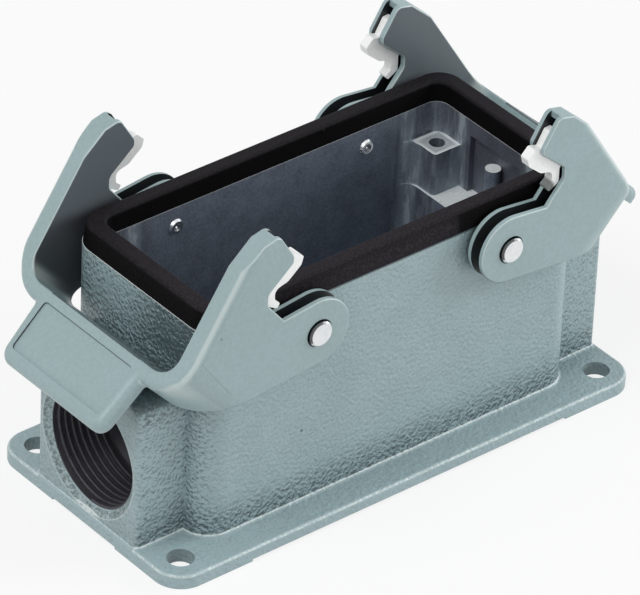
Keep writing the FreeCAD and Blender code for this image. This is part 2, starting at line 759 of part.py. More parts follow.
def add_grip(body):
    # The grip is drawn from its underside up to its face.
    sketch = new_sketch(body, "grip_outline", "XY_Plane", grip_face - grip_thick, grip_slope)
    root = bar_near + bar_thick / 2
    draw_outline(sketch, [(-root, -grip_side), (-root, grip_side),
                          (-grip_end, grip_end_side), (-grip_end, -grip_end_side)])
    new_pad(body, "grip", sketch, grip_thick)

    def is_grip_corner(edge):
        points = ends_of(edge)
        middle = middle_of(edge)
        return (len(points) == 2 and near(tilt_of(middle)[0], grip_end.value)
                and near(abs(middle.y), grip_end_side.value) and near(points[0].y, points[1].y))

    round_edges(body, "grip_corners", grip_corner, is_grip_corner)

    def is_grip_neck(edge):
        points = ends_of(edge)
        down, lift = tilt_of(middle_of(edge))
        return (len(points) == 2 and near(down, bar_far.value) and near(points[0].y, points[1].y)
                and near(edge.Length, grip_thick.value) and abs(points[0].y) > grip_end_side.value)

    round_edges(body, "grip_neck", grip_neck, is_grip_neck)

    def is_grip_lip(edge):
        down, lift = tilt_of(middle_of(edge))
        return near(down, grip_end.value) and near(lift, grip_face.value)

    round_edges(body, "grip_lip", grip_lip, is_grip_lip)
    sketch = new_sketch(body, "panel_outline", "XY_Plane", grip_face, grip_slope)
    draw_box(sketch, panel_rim - grip_end, -(bar_near + panel_start), -panel_half, panel_half)
    new_pocket(body, "panel", sketch, panel_depth)

    def is_panel_corner(edge):
        points = ends_of(edge)
        down, lift = tilt_of(middle_of(edge))
        return (len(points) == 2 and near(lift, grip_face.value - panel_depth.value / 2)
                and near(abs(middle_of(edge).y), panel_half.value)
                and near(points[0].y, points[1].y) and near(edge.Length, panel_depth.value))

    round_edges(body, "panel_corners", panel_corner, is_panel_corner)
    for across in (-1, 1):
        add_grip_rib(body, across)


def add_grip_rib(body, across):
    # A gusset between the crossbar and the underside of the grip.
    place_y = (grip_side - rib_inset) * across
    sketch = new_sketch(body, "grip_rib_outline", "XZ_Plane", -place_y - grip_rib_thick / 2)
    under = grip_face - grip_thick
    within = grip_face - grip_thick / 2
    root = bar_far - bar_thick / 2
    draw_outline(sketch, [tilted_point(root, within),
                          tilted_point(root, under - grip_rib_depth),
                          tilted_point(bar_far, under - grip_rib_depth),
                          tilted_point(bar_far + grip_rib_reach, under),
                          tilted_point(bar_far + grip_rib_reach, within)])
    new_pad(body, "grip_rib", sketch, grip_rib_thick)


def cut_slots(body):
    for across in (-1, 1):
        start = -slot_outside if across < 0 else slot_inside
        sketch = new_sketch(body, "slot_outline", "XZ_Plane", -start - slot_width)
        draw_outline(sketch, slot_outline())
        new_pocket(body, "slot", sketch, slot_width, backwards=True)


def cut_bores(body):
    sketch = new_sketch(body, "bore_outline", "XZ_Plane")
    draw_circle(sketch, 0, 0, journal_radius + pin_fit)
    new_pocket(body, "bores", sketch, reach, both_ways=True)
    for across in (-1, 1):
        offset = lever_outside + cut_spare if across < 0 else slot_width / 2 - slot_outside
        sketch = new_sketch(body, "head_bore_outline", "XZ_Plane", offset)
        draw_circle(sketch, 0, 0, head_radius + head_clearance)
        new_pocket(body, "head_bore", sketch, outer_plate + slot_width / 2 + cut_spare)


def round_lever(body):
    # The bores keep sharp edges.
    for name, face, bore in (("arm_rims", lever_outside, head_radius + head_clearance),
                             ("inner_rims", lever_inside, journal_radius + pin_fit)):

        def is_rim(edge):
            points = ends_of(edge)
            middle = middle_of(edge)
            on_face = near(abs(middle.y), face.value) and all(near(abs(point.y), face.value) for point in points)
            return on_face and not near(math.hypot(middle.x, middle.z), bore.value)

        round_edges(body, name, arm_edge, is_rim)


def catch_corners():
    # Round the catch from the root of its beak, down its front to the tail and up its back.
    # Each corner has the radius it is rounded to, or None where it stays sharp.
    return [(beak_root, None), (beak_top, beak_round), (beak_tip, beak_round), (beak_low, beak_round),
            (throat, throat_round), (hook, throat_round), (foot, tail_round), (toe, tail_round),
            (tail, tail_round), (heel, None), (leg_back, None), (catch_back, tail_round),
            (crown_back, None), (crown, beak_round), (crown_front, beak_round)]


def build_catch(name):
    body = new_body(name)
    corners = catch_corners()
    sketch = new_sketch(body, "catch_outline", "XZ_Plane")
    draw_outline(sketch, [corner for corner, radius in corners])
    new_pad(body, "catch", sketch, catch_thick, both_ways=True)
    for corner, radius in corners:
        if radius is not None:
            round_edges(body, "bend", radius, at_corner(*corner))
    return body


def build_pin(name):
    # A shouldered rivet for the rear wall: its thin end is spread over the inside of the wall.
    body = new_body(name)
    sketch = new_sketch(body, "pin_profile", "XY_Plane")
    wall_inside = cavity_wide / 2
    head_start = slot_inside + pin_play
    head_stop = lever_outside + head_proud
    draw_outline(sketch, [(0, wall_inside - rivet_end_length + rivet_cup / 2),
                          (rivet_cup, wall_inside - rivet_end_length),
                          (rivet_end_radius - head_edge, wall_inside - rivet_end_length),
                          (rivet_end_radius, wall_inside),
                          (rivet_radius, wall_inside),
                          (rivet_radius, wall_half_wide),
                          (journal_radius, wall_half_wide),
                          (journal_radius, head_start),
                          (head_radius, head_start),
                          (head_radius, head_stop - head_edge),
                          (head_radius - head_edge, head_stop),
                          (0, head_stop)])
    pin = body.newObject("PartDesign::Revolution", "pin")
    pin.Profile = sketch
    pin.ReferenceAxis = (sketch, ["V_Axis"])
    pin.Angle = 360
    doc.recompute()
    return body


def copy_of(original, name):
    # A second piece of the same design, which follows every change of the first.
    body = new_body(name)
    copy = body.newObject("PartDesign::FeatureBase", name + "_copy")
    copy.BaseFeature = original
    body.Tip = copy
    doc.recompute()
    return body


def place(body, side, turned, offset=None):
    # Moves a piece to the pivots of one side, turned round the Z axis where it has to face the other way.
    turn = FreeCAD.Rotation(Vector(0, 0, 1), 180 if turned else 0)
    body.Placement = FreeCAD.Placement(Vector(0, 0, 0), turn)
    body.setExpression("Placement.Base.x", (pivot_x * side).text)
    body.setExpression("Placement.Base.z", pivot_height.text)
    if offset is not None:
        body.setExpression("Placement.Base.y", offset.text)


def build_levers():
    # Both levers are alike, and so are the four catches and the four pins.
    lever = build_lever("left_lever")
    catch = build_catch("left_front_catch")
    pin = build_pin("left_front_pin")
    for side, hand in ((-1, "left"), (1, "right")):
        lever = lever if side < 0 else copy_of(lever, "right_lever")
        place(lever, side, side > 0)
        for across, row in ((-1, "front"), (1, "rear")):
            if (hand, row) != ("left", "front"):
                catch = copy_of(catch, "%s_%s_catch" % (hand, row))
                pin = copy_of(pin, "%s_%s_pin" % (hand, row))
            place(catch, side, side > 0, (slot_inside + slot_width / 2) * across)
            place(pin, side, across < 0)


build_housing()
build_seal()
build_levers()
doc.recompute()

os.makedirs("parts", exist_ok=True)
for piece in doc.Objects:
    if piece.TypeId == "PartDesign::Body":
        problems = [item.Name for item in piece.Group if "Invalid" in item.State or "Error" in item.State]
        if problems or piece.Shape.isNull() or not piece.Shape.isValid():
            raise ValueError("%s is not sound: %s" % (piece.Label, problems))
        piece.Shape.exportStep("parts/%s.step" % piece.Label)
        print(piece.Label, round(piece.Shape.Volume, 1), piece.Shape.BoundBox)
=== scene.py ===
import bpy
import bmesh
import math
from mathutils import Matrix, Vector


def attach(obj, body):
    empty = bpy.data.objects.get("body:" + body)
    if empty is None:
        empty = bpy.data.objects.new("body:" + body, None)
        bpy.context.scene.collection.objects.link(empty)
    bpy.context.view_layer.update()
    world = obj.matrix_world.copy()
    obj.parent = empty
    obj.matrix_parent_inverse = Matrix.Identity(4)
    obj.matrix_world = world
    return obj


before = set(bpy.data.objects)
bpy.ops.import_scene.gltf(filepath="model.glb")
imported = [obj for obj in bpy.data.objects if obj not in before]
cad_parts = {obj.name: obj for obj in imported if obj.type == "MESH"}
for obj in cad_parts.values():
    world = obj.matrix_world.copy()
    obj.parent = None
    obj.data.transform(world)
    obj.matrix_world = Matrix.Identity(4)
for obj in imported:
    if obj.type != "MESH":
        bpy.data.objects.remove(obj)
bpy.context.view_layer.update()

from types import SimpleNamespace

# A surface-mounting connector housing with two locking levers. All lengths are in metres.
# X runs along the housing, Y across it and Z up, from the middle of the base face.

mm = 0.001
print("frame loaded")


# Helpers for node trees

def newMaterial(name):
    material = bpy.data.materials.new(name)
    material.use_nodes = True
    tree = material.node_tree
    tree.nodes.clear()
    output = tree.nodes.new("ShaderNodeOutputMaterial")
    shader = tree.nodes.new("ShaderNodeBsdfPrincipled")
    tree.links.new(shader.outputs["BSDF"], output.inputs["Surface"])
    return material, tree, shader


def plug(tree, value, socket):
    # Joins an output to a socket, or sets the socket's own value.
    if isinstance(value, bpy.types.NodeSocket):
        tree.links.new(value, socket)
    else:
        socket.default_value = value


def calc(tree, operation, *values):
    node = tree.nodes.new("ShaderNodeMath")
    node.operation = operation
    for index, value in enumerate(values):
        plug(tree, value, node.inputs[index])
    return node.outputs[0]


def fold(tree, operation, values):
    # Runs one operation through a row of values.
    result = values[0]
    for value in values[1:]:
        result = calc(tree, operation, result, value)
    return result


def times(tree, *values):
    return fold(tree, "MULTIPLY", values)


def total(tree, *values):
    return fold(tree, "ADD", values)


def most(tree, *values):
    return fold(tree, "MAXIMUM", values)


def minus(tree, first, second):
    return calc(tree, "SUBTRACT", first, second)


def above(tree, value, limit):
    return calc(tree, "GREATER_THAN", value, limit)


def below(tree, value, limit):
    return calc(tree, "LESS_THAN", value, limit)


def ramp(tree, value, low, high, start=0.0, end=1.0):
    # A soft step: start below low, end above high.
    node = tree.nodes.new("ShaderNodeMapRange")
    node.interpolation_type = "SMOOTHSTEP"
    plug(tree, value, node.inputs["Value"])
    node.inputs["From Min"].default_value = low
    node.inputs["From Max"].default_value = high
    node.inputs["To Min"].default_value = start
    node.inputs["To Max"].default_value = end
    return node.outputs["Result"]


def fade(tree, value, low, high, start=1.0):
    # A soft step down to nothing.
    return ramp(tree, value, low, high, start, 0.0)


def bandOf(tree, value, low, high, soft):
    # One between low and high, none outside, with soft ends.
    return times(tree, ramp(tree, value, low - soft, low + soft), fade(tree, value, high - soft, high + soft))


def away(tree, first, second, centreFirst, centreSecond):
    # Distance from a centre in the plane of two coordinates.
    sides = [minus(tree, first, centreFirst), minus(tree, second, centreSecond)]
    return calc(tree, "SQRT", total(tree, *[times(tree, side, side) for side in sides]))


def blendColours(tree, factor, first, second):
    node = tree.nodes.new("ShaderNodeMix")
    node.data_type = "RGBA"
    plug(tree, factor, node.inputs[0])
    plug(tree, first, node.inputs[6])
    plug(tree, second, node.inputs[7])
    return node.outputs[2]


def noise(tree, place, scale, detail=2.0, roughness=0.5):
    node = tree.nodes.new("ShaderNodeTexNoise")
    node.inputs["Scale"].default_value = scale
    node.inputs["Detail"].default_value = detail
    node.inputs["Roughness"].default_value = roughness
    plug(tree, place, node.inputs["Vector"])
    return node.outputs["Fac"]


def stretched(tree, place, scale):
    node = tree.nodes.new("ShaderNodeMapping")
    node.inputs["Scale"].default_value = scale
    plug(tree, place, node.inputs["Vector"])
    return node.outputs["Vector"]


def moved(tree, place, step):
    node = tree.nodes.new("ShaderNodeVectorMath")
    node.inputs[1].default_value = step
    plug(tree, place, node.inputs[0])
    return node.outputs[0]


def objectPlace(tree):
    place = tree.nodes.new("ShaderNodeTexCoord").outputs["Object"]
    split = tree.nodes.new("ShaderNodeSeparateXYZ")
    tree.links.new(place, split.inputs[0])
    return place, split.outputs[0], split.outputs[1], split.outputs[2]


def objectNormal(tree):
    # The smooth surface's direction in the object's own axes.
    split = tree.nodes.new("ShaderNodeSeparateXYZ")
    tree.links.new(tree.nodes.new("ShaderNodeTexCoord").outputs["Normal"], split.inputs[0])
    return split.outputs[0], split.outputs[1], split.outputs[2]


def bumps(tree, heights):
    # Stacks bump nodes: each entry is a height, its strength and its depth in metres.
    normal = None
    for height, strength, depth in heights:
        node = tree.nodes.new("ShaderNodeBump")
        node.inputs["Distance"].default_value = depth
        plug(tree, strength, node.inputs["Strength"])
        plug(tree, height, node.inputs["Height"])
        if normal is not None:
            tree.links.new(normal, node.inputs["Normal"])
        normal = node.outputs["Normal"]
    return normal


def grey(level):
    return (level, level, level, 1)


def inMm(*values):
    return tuple(value * mm for value in values)


# Places that several masks share. The pivot is a distance from the middle and a height.

flange = {"top": 3.0 * mm, "gap": 0.02 * mm}
pivot = inMm(23.75, 45.8)
entry = {"height": 17.4 * mm, "boreRadius": 12.6 * mm, "innerEnd": -34.0 * mm, "mouthFace": -57.0 * mm,
         "ring": inMm(12.7, 14.15, 0.05), "ringEdgeHighlight": inMm(14.1, 14.4, 0.05)}


# Housing: where its casting is bare, and where it is machined bright

cavity = {"halfLong": 42.25 * mm, "halfWide": 17.6 * mm, "reliefLong": 43.6 * mm, "reliefWide": 7.6 * mm,
          "floor": 3.0 * mm, "rim": 50.22 * mm, "nearSide": -20.5 * mm, "nearStart": -42.5 * mm,
          "levelFacing": 0.6, "uprightFacing": (0.35, 0.6),
          "postX": 38.75 * mm, "postY": 13.5 * mm, "postReach": 3.5 * mm, "postLow": 41.97 * mm,
          "postBorder": inMm(2.5, 2.9), "postInner": 0.5, "pegX": 41.85 * mm, "pegReach": 1.8 * mm,
          "shelf": inMm(32.53, 34.53, 0.1), "shelfStart": inMm(34.6, 35.2)}


def findAreas(tree, spot):
    # Masks of one inside an area and none outside it, and the distance from the bore's axis.
    inPlan = most(tree, times(tree, below(tree, spot.awayX, cavity["halfLong"]),
                              below(tree, spot.awayY, cavity["halfWide"])),
                  times(tree, below(tree, spot.awayX, cavity["reliefLong"]),
                        below(tree, spot.awayY, cavity["reliefWide"])))
    inside = times(tree, inPlan, above(tree, spot.z, cavity["floor"]))
    boreRadius = away(tree, spot.y, spot.z, 0.0, entry["height"])
    inBore = times(tree, below(tree, boreRadius, entry["boreRadius"]), below(tree, spot.x, entry["innerEnd"]))
    nearSide = times(tree, below(tree, spot.y, cavity["nearSide"]), above(tree, spot.x, cavity["nearStart"]))
    onRim = times(tree, above(tree, spot.z, cavity["rim"]), minus(tree, 1.0, nearSide))
    levelInside = times(tree, inside, above(tree, spot.facingZ, cavity["levelFacing"]))
    levelHigh = times(tree, levelInside, above(tree, spot.z, cavity["postLow"]))
    postOff = most(tree, calc(tree, "ABSOLUTE", minus(tree, spot.awayX, cavity["postX"])),
                   calc(tree, "ABSOLUTE", minus(tree, spot.awayY, cavity["postY"])))
    inPost = below(tree, postOff, cavity["postReach"])
    onPost = times(tree, levelHigh, inPost,
                   ramp(tree, postOff, *cavity["postBorder"], cavity["postInner"], 1.0))
    onPeg = times(tree, levelHigh,
                  below(tree, away(tree, spot.awayX, spot.y, cavity["pegX"], 0.0), cavity["pegReach"]))
    onShelf = times(tree, levelInside, bandOf(tree, spot.z, *cavity["shelf"]),
                    ramp(tree, spot.awayX, *cavity["shelfStart"]))
    return SimpleNamespace(
        inside=inside, boreRadius=boreRadius, inBore=inBore, nearSide=nearSide, inPost=inPost,
        bare=most(tree, inside, inBore, onRim), bright=most(tree, onRim, onPost, onPeg, onShelf),
        upright=fade(tree, calc(tree, "ABSOLUTE", spot.facingZ), *cavity["uprightFacing"]),
        aboveFlange=above(tree, spot.z, flange["top"] + flange["gap"]))


# Housing: hammered powder coat outside, with painted shade, painted highlights along its edges and its grain
# painted as if lit from above. Its shades follow the photograph.

coatLook = {"colour": (0.336, 0.446, 0.468, 1), "patch": (0.318, 0.424, 0.444, 1), "patchNoise": (90, 3),
            "patchSpread": (0.35, 0.65), "pitAndShade": (0.080, 0.112, 0.122, 1), "edge": (0.64, 0.72, 0.72, 1),
            "roughness": 0.36, "roughNoise": (400, 2), "roughSpread": (0.3, 0.7), "roughSwing": (-0.05, 0.05),
            "grain": (1250, 2.5, 0.55), "bumpDepth": 0.00040, "bumpStrength": 0.8,
            "paintedReliefStep": inMm(-0.10, -0.10, 0.30), "coarseSwing": 3.8, "fineSwing": 0.85, "endsCoarse": 0.6,
            "fleckNoise": (1500, 1), "fleckSpread": (0.48, 0.60), "footTop": 12.5 * mm, "footShade": 0.46,
            "ends": inMm(42.5, 46.0), "middle": inMm(-5.0, 5.0),
            "capRise": inMm(29.0, 35.0), "capFall": inMm(37.0, 47.0), "capShade": 0.46, "capRight": 0.2,
            "corner": inMm(46.5, 15.9), "cornerSpread": inMm(0.8, 4.5), "cornerShade": 0.13,
            "armLow": 36.0 * mm, "armAcross": inMm(-10.0, 6.0), "armShade": 0.8,
            "armRise": inMm(38.0, 43.0), "armLowShade": 0.33,
            "bossTopLow": 34.0 * mm, "bossTopFacing": (0.2, 0.7), "bossTopShade": (0.42, 0.08),
            "bossFront": inMm(57.0, 57.9), "bossFrontShade": 0.25,
            "lobe": inMm(7.6, 10.2), "lobeShade": 0.45, "lobeRise": inMm(40.0, 43.0),
            "lobeEnd": inMm(18.0, 20.0), "sealLine": inMm(49.9, 50.15),
            "sidesEnd": inMm(44.0, 48.0), "sidesShade": 0.11,
            "hole": inMm(52.5, 22.5), "holeReach": 2.86 * mm, "holeShade": 0.42,
            "nearFace": -21.0 * mm, "speck": inMm(-22.83, 19.68), "speckSize": inMm(0.2, 0.4),
            "ringSpread": (0.4, 0.6), "ringShade": (0.72, 0.22), "ringEdgeHighlight": 0.4, "ringGlints": 0.3,
            "footLineTop": 3.85 * mm, "footLineFacing": (0.38, 0.72, 0.07),
            "footLineSpread": (0.38, 0.52), "footLineLight": (0.4, 1.0),
            "rimFacing": (0.42, 0.88, 0.1), "rimFlecks": 0.5, "rimPlain": 0.4, "belowBoss": inMm(58.1, 15.0)}


def shadeCoat(tree, spot, area, hammer):
    # How far the coat goes towards its dark colour: painted shade at the foot of the walls, at the ends under
    # the levers, in the corners, beside the arm and the right lever's lobe, under the seal, on the upright
    # sides and in the fixing holes, and a dark speck, together with the grain's light and dark sides painted
    # as if lit from above.
    # The grain painted as if lit from above: the hammer noise less the same noise a small step higher,
    # stronger at the foot and the ends.
    shifted = moved(tree, spot.place, coatLook["paintedReliefStep"])
    paintedRelief = minus(tree, hammer, noise(tree, shifted, *coatLook["grain"]))
    onWall = times(tree, area.upright, area.aboveFlange,
                   ramp(tree, spot.awayX, *coatLook["bossFront"], 1.0, coatLook["bossFrontShade"]))
    nearFoot = times(tree, onWall, fade(tree, spot.z, flange["top"], coatLook["footTop"]))
    atEnds = ramp(tree, spot.awayX, *coatLook["ends"])
    nearCap = times(tree, atEnds, ramp(tree, spot.z, *coatLook["capRise"]),
                    fade(tree, spot.z, *coatLook["capFall"]))
    fromCorner = away(tree, spot.awayX, spot.awayY, *coatLook["corner"])
    fromHole = away(tree, spot.awayX, spot.awayY, *coatLook["hole"])
    fromLobe = away(tree, spot.x, spot.z, *pivot)
    fromSpeck = away(tree, spot.x, spot.z, *coatLook["speck"])
    foot = times(tree, nearFoot, coatLook["footShade"])
    cap = times(tree, nearCap, coatLook["capShade"],
                ramp(tree, spot.x, *coatLook["middle"], 1.0, coatLook["capRight"]))
    corner = times(tree, onWall, fade(tree, fromCorner, *coatLook["cornerSpread"]), coatLook["cornerShade"])
    besideArm = times(tree, atEnds, fade(tree, spot.y, *coatLook["armAcross"], coatLook["armShade"]),
                      above(tree, spot.z, coatLook["armLow"]),
                      ramp(tree, spot.z, *coatLook["armRise"], coatLook["armLowShade"], 1.0))
    bossTop = times(tree, atEnds, ramp(tree, spot.facingZ, *coatLook["bossTopFacing"]),
                    above(tree, spot.z, coatLook["bossTopLow"]),
                    ramp(tree, spot.x, *coatLook["middle"], *coatLook["bossTopShade"]))
    besideLobe = times(tree, below(tree, spot.y, 0.0),
                       fade(tree, fromLobe, *coatLook["lobe"], coatLook["lobeShade"]),
                       ramp(tree, spot.z, *coatLook["lobeRise"]), fade(tree, spot.x, *coatLook["lobeEnd"]))
    underSeal = times(tree, area.nearSide, ramp(tree, spot.z, *coatLook["sealLine"]))
    sides = times(tree, area.upright, area.aboveFlange,
                  fade(tree, spot.x, *coatLook["sidesEnd"], coatLook["sidesShade"]))
    hole = times(tree, area.upright, below(tree, fromHole, coatLook["holeReach"]), coatLook["holeShade"])
    speck = times(tree, below(tree, spot.y, coatLook["nearFace"]),
                  fade(tree, fromSpeck, *coatLook["speckSize"]))
    coarse = times(tree, onWall, most(tree, nearFoot, nearCap, times(tree, atEnds, coatLook["endsCoarse"])))
    swing = total(tree, times(tree, coarse, coatLook["coarseSwing"]), coatLook["fineSwing"])
    shades = total(tree, foot, cap, corner, besideArm, bossTop, besideLobe, underSeal, sides, hole, speck)
    return minus(tree, shades, times(tree, paintedRelief, swing))


def paintCoat(tree, spot, area, hammer):
    patches = ramp(tree, noise(tree, spot.place, *coatLook["patchNoise"]), *coatLook["patchSpread"])
    coat = blendColours(tree, patches, coatLook["colour"], coatLook["patch"])
    # Painted shade, and the grain painted as if lit from above, darken the coat.
    coat = blendColours(tree, shadeCoat(tree, spot, area, hammer), coat, coatLook["pitAndShade"])
    inMouth = below(tree, spot.x, entry["mouthFace"])
    onRing = times(tree, inMouth, bandOf(tree, area.boreRadius, *entry["ring"]))
    ringShade = times(tree, onRing, ramp(tree, hammer, *coatLook["ringSpread"], *coatLook["ringShade"]))
    coat = blendColours(tree, ringShade, coat, coatLook["pitAndShade"])

    # Painted highlights along the bore's ring, the wall's foot and the flange's rim, dotted with painted
    # glints
    glintFlecks = ramp(tree, noise(tree, spot.place, *coatLook["fleckNoise"]), *coatLook["fleckSpread"])
    ringEdgeHighlight = times(tree, inMouth, bandOf(tree, area.boreRadius, *entry["ringEdgeHighlight"]), coatLook["ringEdgeHighlight"])
    ringGlints = times(tree, onRing, glintFlecks, coatLook["ringGlints"])
    footHighlight = times(tree, bandOf(tree, spot.facingZ, *coatLook["footLineFacing"]), area.aboveFlange,
                     below(tree, spot.z, coatLook["footLineTop"]),
                     ramp(tree, hammer, *coatLook["footLineSpread"], *coatLook["footLineLight"]))
    belowBoss = times(tree, above(tree, spot.awayX, coatLook["belowBoss"][0]),
                      below(tree, spot.awayY, coatLook["belowBoss"][1]))
    flangeRimHighlight = times(tree, bandOf(tree, spot.facingZ, *coatLook["rimFacing"]),
                      below(tree, spot.z, flange["top"] - flange["gap"]),
                      total(tree, times(tree, glintFlecks, coatLook["rimFlecks"]), coatLook["rimPlain"]),
                      minus(tree, 1.0, belowBoss))
    lines = most(tree, ringEdgeHighlight, ringGlints, footHighlight, flangeRimHighlight)
    return blendColours(tree, lines, coat, coatLook["edge"])


# Housing: bare casting inside, with bright streaks beside the posts

castLook = {"colour": (0.225, 0.265, 0.330, 1), "patch": (0.135, 0.160, 0.205, 1),
            "broad": (220, 4, 0.6), "broadSpread": (0.3, 0.7),
            "fine": (1900, 2, 0.6), "fineSpread": (0.4, 0.6),
            "machined": (0.88, 0.93, 0.93, 1), "streak": (0.40, 0.46, 0.50, 1),
            "bore": (0.070, 0.066, 0.078, 1),
            "metal": 0.4, "brightMetal": 0.6, "roughness": 0.46, "brightSmooth": 0.2,
            "grain": (2600, 2, 0.6), "bumpStrength": 0.35, "bumpDepth": 0.00004,
            "endWall": inMm(41.6, 42.1), "endWallShade": (0.6, 0.3),
            "postsLong": inMm(27.0, 33.0), "postsWide": inMm(8.0, 10.0), "postsShade": 0.35,
            "besideFace": inMm(-2.4, 1.2, 0.9), "besideStreaks": 0.8, "besidePlain": 0.28,
            "streakStretch": (700, 700, 120), "streakNoise": (1, 4, 0.65), "streakSpread": (0.46, 0.62),
            "streakLight": 0.3,
            "postSide": inMm(30.0, 41.0), "postSideLight": 0.3}


def paintCasting(tree, spot, area):
    broad = ramp(tree, noise(tree, spot.place, *castLook["broad"]), *castLook["broadSpread"])
    fine = ramp(tree, noise(tree, spot.place, *castLook["fine"]), *castLook["fineSpread"])
    patches = times(tree, total(tree, broad, fine), 0.5)
    cast = blendColours(tree, patches, castLook["colour"], castLook["patch"])
    atEnd = times(tree, ramp(tree, spot.awayX, *castLook["endWall"]),
                  ramp(tree, spot.awayY, *castLook["postsWide"], *castLook["endWallShade"]))
    cast = blendColours(tree, atEnd, cast, castLook["bore"])
    nearPosts = times(tree, ramp(tree, spot.awayX, *castLook["postsLong"]),
                      ramp(tree, spot.awayY, *castLook["postsWide"]))
    acrossPost = minus(tree, total(tree, spot.awayX, spot.awayY), cavity["postX"] + cavity["postY"])
    besideFace = times(tree, nearPosts, bandOf(tree, acrossPost, *castLook["besideFace"]))
    postShade = times(tree, minus(tree, nearPosts, besideFace), castLook["postsShade"])
    cast = blendColours(tree, postShade, cast, castLook["bore"])
    streakPlace = stretched(tree, spot.place, castLook["streakStretch"])
    streaks = ramp(tree, noise(tree, streakPlace, *castLook["streakNoise"]), *castLook["streakSpread"])
    besideStreaks = total(tree, times(tree, streaks, castLook["besideStreaks"]), castLook["besidePlain"])
    streakLight = most(tree, times(tree, streaks, nearPosts, castLook["streakLight"]),
                       times(tree, besideFace, besideStreaks))
    cast = blendColours(tree, streakLight, cast, castLook["streak"])
    onPostSide = times(tree, area.inside, area.upright, area.inPost,
                       fade(tree, spot.z, *castLook["postSide"], castLook["postSideLight"]))
    cast = blendColours(tree, onPostSide, cast, castLook["streak"])
    cast = blendColours(tree, area.inBore, cast, castLook["bore"])
    return blendColours(tree, area.bright, cast, castLook["machined"])


def makeHousingMaterial():
    material, tree, shader = newMaterial("coated_casting")
    place, x, y, z = objectPlace(tree)
    spot = SimpleNamespace(place=place, x=x, y=y, z=z, awayX=calc(tree, "ABSOLUTE", x),
                           awayY=calc(tree, "ABSOLUTE", y), facingZ=objectNormal(tree)[2])
    area = findAreas(tree, spot)
    hammer = noise(tree, place, *coatLook["grain"])
    coat = paintCoat(tree, spot, area, hammer)
    cast = paintCasting(tree, spot, area)
    plug(tree, blendColours(tree, area.bare, coat, cast), shader.inputs["Base Color"])
    dulled = minus(tree, area.bare, times(tree, area.bright, castLook["brightMetal"]))
    plug(tree, times(tree, dulled, castLook["metal"]), shader.inputs["Metallic"])
    roughSwing = ramp(tree, noise(tree, place, *coatLook["roughNoise"]),
                      *coatLook["roughSpread"], *coatLook["roughSwing"])
    rough = total(tree, roughSwing, ramp(tree, area.bare, 0, 1, coatLook["roughness"], castLook["roughness"]))
    smoother = times(tree, area.bright, castLook["brightSmooth"])
    plug(tree, minus(tree, rough, smoother), shader.inputs["Roughness"])
    coatStrength = fade(tree, area.bare, 0, 1, coatLook["bumpStrength"])
    castStrength = ramp(tree, area.bare, 0, 1, 0, castLook["bumpStrength"])
    castGrain = noise(tree, place, *castLook["grain"])
    normal = bumps(tree, [(hammer, coatStrength, coatLook["bumpDepth"]),
                          (castGrain, castStrength, castLook["bumpDepth"])])
    plug(tree, normal, shader.inputs["Normal"])
    return material


# Black seal: wear and painted sheen on top and along its near side, lighter on the near side than the far,
# and left dark where the right lever's painted shadow falls

sealLook = {"colour": (0.0020, 0.0018, 0.0022, 1), "wearAndSheen": (0.058, 0.051, 0.060, 1), "roughness": (0.6, 0.8),
            "specular": 0.08, "grain": (2600, 2, 0.6), "bumpStrength": 0.35, "bumpDepth": 0.00004,
            "speckles": (2300, 2, 0.6), "speckleSpread": (0.46, 0.64), "speckled": 0.7, "plain": 0.4,
            "top": inMm(54.0, 54.8), "nearSide": inMm(-21.2, -20.2), "leverShadowStart": inMm(13.5, 15.5),
            "across": inMm(-20.0, 20.0), "acrossSheen": (0.5, 0.3)}


def makeSealMaterial():
    material, tree, shader = newMaterial("seal_rubber")
    place, x, y, z = objectPlace(tree)
    speckle = ramp(tree, noise(tree, place, *sealLook["speckles"]), *sealLook["speckleSpread"])
    # Wear and painted sheen, lighter towards the near side, ending where the right lever's painted shadow
    # lies.
    nearSide = times(tree, fade(tree, y, *sealLook["nearSide"]), fade(tree, x, *sealLook["leverShadowStart"]))
    wearAndSheen = times(tree, total(tree, times(tree, speckle, sealLook["speckled"]), sealLook["plain"]),
                 most(tree, ramp(tree, z, *sealLook["top"]), nearSide),
                 ramp(tree, y, *sealLook["across"], *sealLook["acrossSheen"]))
    plug(tree, blendColours(tree, wearAndSheen, sealLook["colour"], sealLook["wearAndSheen"]), shader.inputs["Base Color"])
    plug(tree, ramp(tree, speckle, 0, 1, *sealLook["roughness"]), shader.inputs["Roughness"])
    shader.inputs["Specular IOR Level"].default_value = sealLook["specular"]
    grain = noise(tree, place, *sealLook["grain"])
    normal = bumps(tree, [(grain, sealLook["bumpStrength"], sealLook["bumpDepth"])])
    plug(tree, normal, shader.inputs["Normal"])
    return material


# Lever plastic: painted shade on the arms' inner faces, in their slots, in the grip's groove and along the
# lower edges, painted highlights on the edge roundings, and the mould's line and gate

